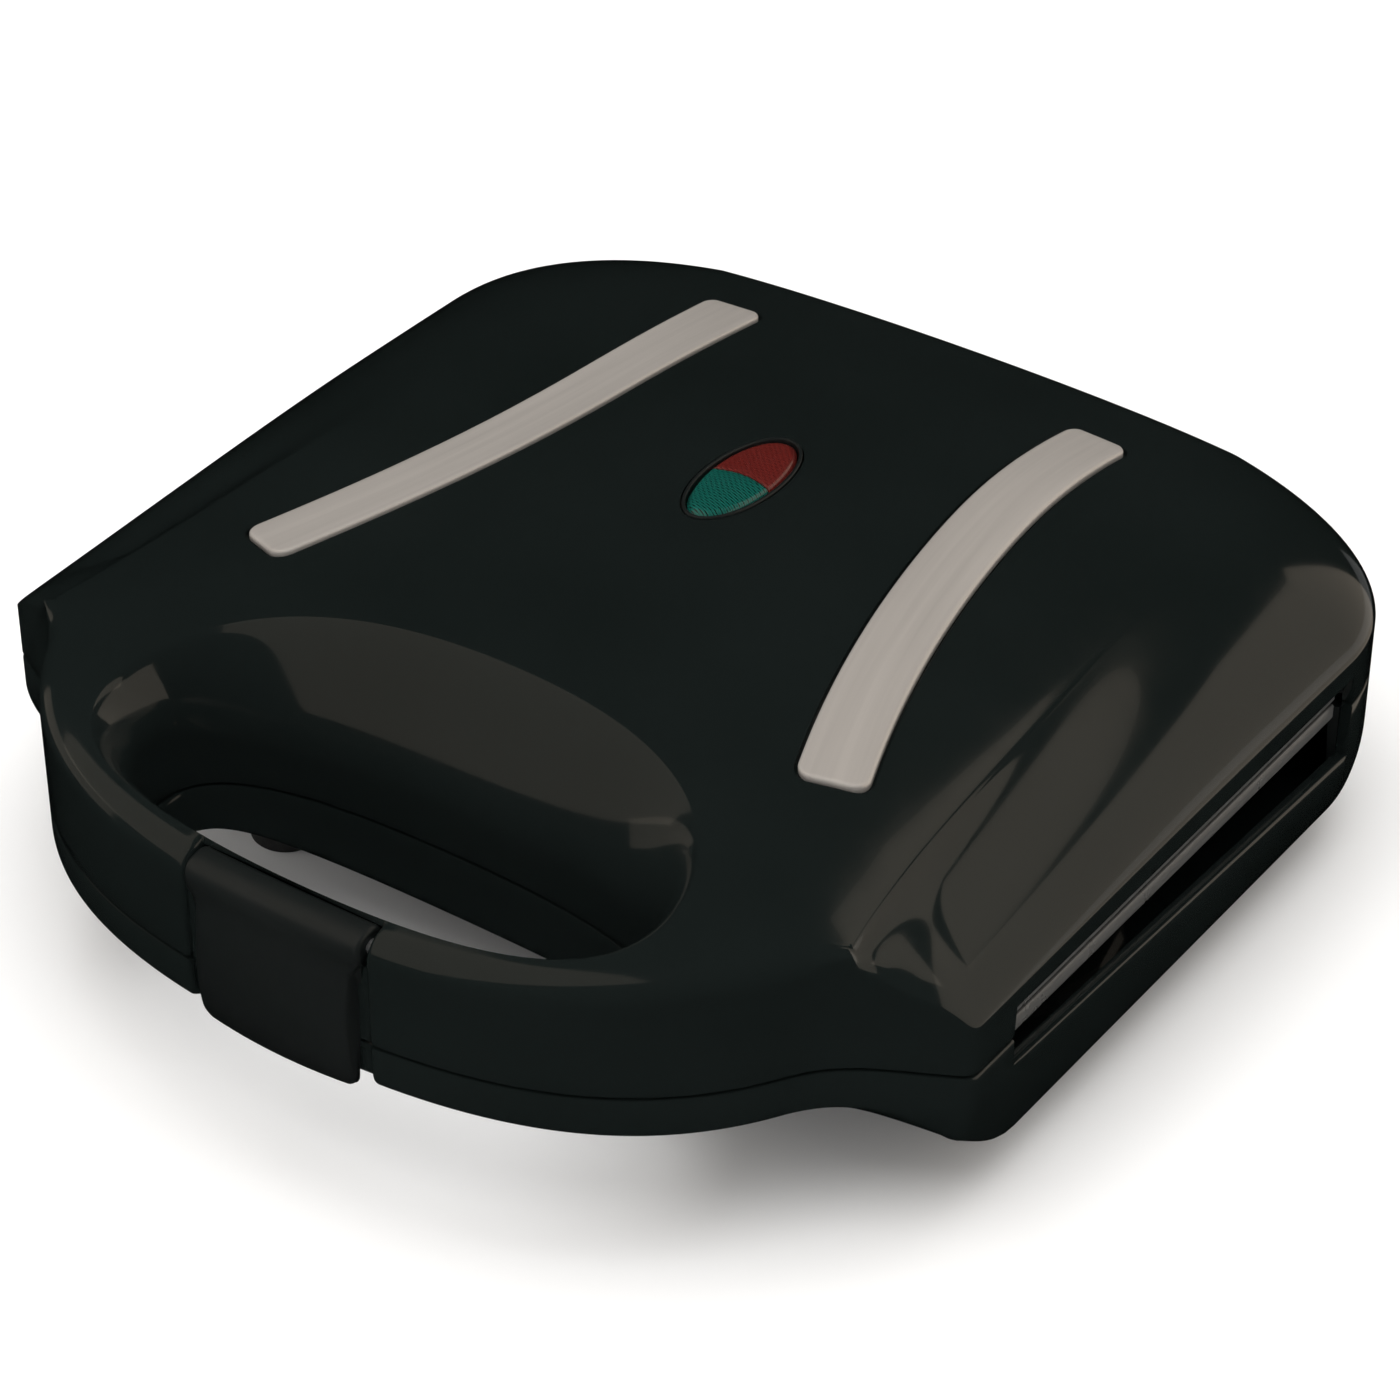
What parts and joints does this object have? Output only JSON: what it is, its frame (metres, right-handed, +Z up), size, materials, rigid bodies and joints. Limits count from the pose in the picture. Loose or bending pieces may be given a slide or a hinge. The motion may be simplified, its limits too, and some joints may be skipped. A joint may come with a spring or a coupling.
{
  "type": "donut maker",
  "caption": "Clam-shell donut maker with a finger hole behind its front handle, a swinging handle latch, two trim strips and an oval two-colour indicator.",
  "frame": {"origin": "on the table, under the middle of the closed machine", "axes": "+Z up, +Y from the handle to the hinge, +X to the right seen from the handle"},
  "size_m": [0.24, 0.2579, 0.081],
  "materials": {
    "gloss_black_shell": "glossy moulded plastic, polished",
    "satin_black_plastic": "fine satin moulded plastic",
    "trim_metal": "satin anodised warm grey, fine brushing",
    "nonstick_plate": "dark satin non-stick coating on die-cast aluminium",
    "steel": "plain satin steel",
    "shield_sheet": "mill-finish aluminised sheet",
    "black_rubber": "matte rubber",
    "red_lens": "translucent red, polished",
    "green_lens": "translucent green, prismatic ribs",
    "lamp_glass": "clear glass",
    "ceramic": "glazed off-white insulating ceramic"
  },
  "bodies": {
    "base": {"lower_housing": "gloss_black_shell", "lower_hot_plate": "nonstick_plate", "lower_heating_element": "steel", "lower_heat_shield": "shield_sheet", "thermal_fuse": "ceramic", "terminal_block": "ceramic", "cord_gland": "black_rubber", "lower_plate_screw_left": "steel", "lower_plate_screw_right": "steel", "left_front_foot": "black_rubber", "left_front_foot_screw": "steel", "left_rear_foot": "black_rubber", "left_rear_foot_screw": "steel", "right_front_foot": "black_rubber", "right_front_foot_screw": "steel", "right_rear_foot": "black_rubber", "right_rear_foot_screw": "steel", "left_hinge_pin": "steel", "right_hinge_pin": "steel"},
    "lid": {"upper_housing": "gloss_black_shell", "left_trim_strip": "trim_metal", "right_trim_strip": "trim_metal", "green_indicator_lens": "green_lens", "red_indicator_lens": "red_lens", "lens_bezel": "satin_black_plastic", "lamp_holder": "ceramic", "green_lamp": "lamp_glass", "red_lamp": "lamp_glass", "upper_hot_plate": "nonstick_plate", "upper_heating_element": "steel", "upper_heat_shield": "shield_sheet", "thermostat": "steel", "upper_plate_screw_left": "steel", "upper_plate_screw_right": "steel", "latch_pin": "steel"},
    "latch": {"handle_latch": "satin_black_plastic"}
  },
  "joints": [
    {"name": "lid_hinge", "type": "hinge", "parent": "base", "child": "lid", "pos_m": [0, 0.125, 0.042], "axis": [-1, 0, 0], "range_deg": [0, 105]},
    {"name": "latch_pivot", "type": "hinge", "parent": "lid", "child": "latch", "pos_m": [0, -0.1214, 0.0636], "axis": [-1, 0, 0], "range_deg": [0, 40]}
  ]
}
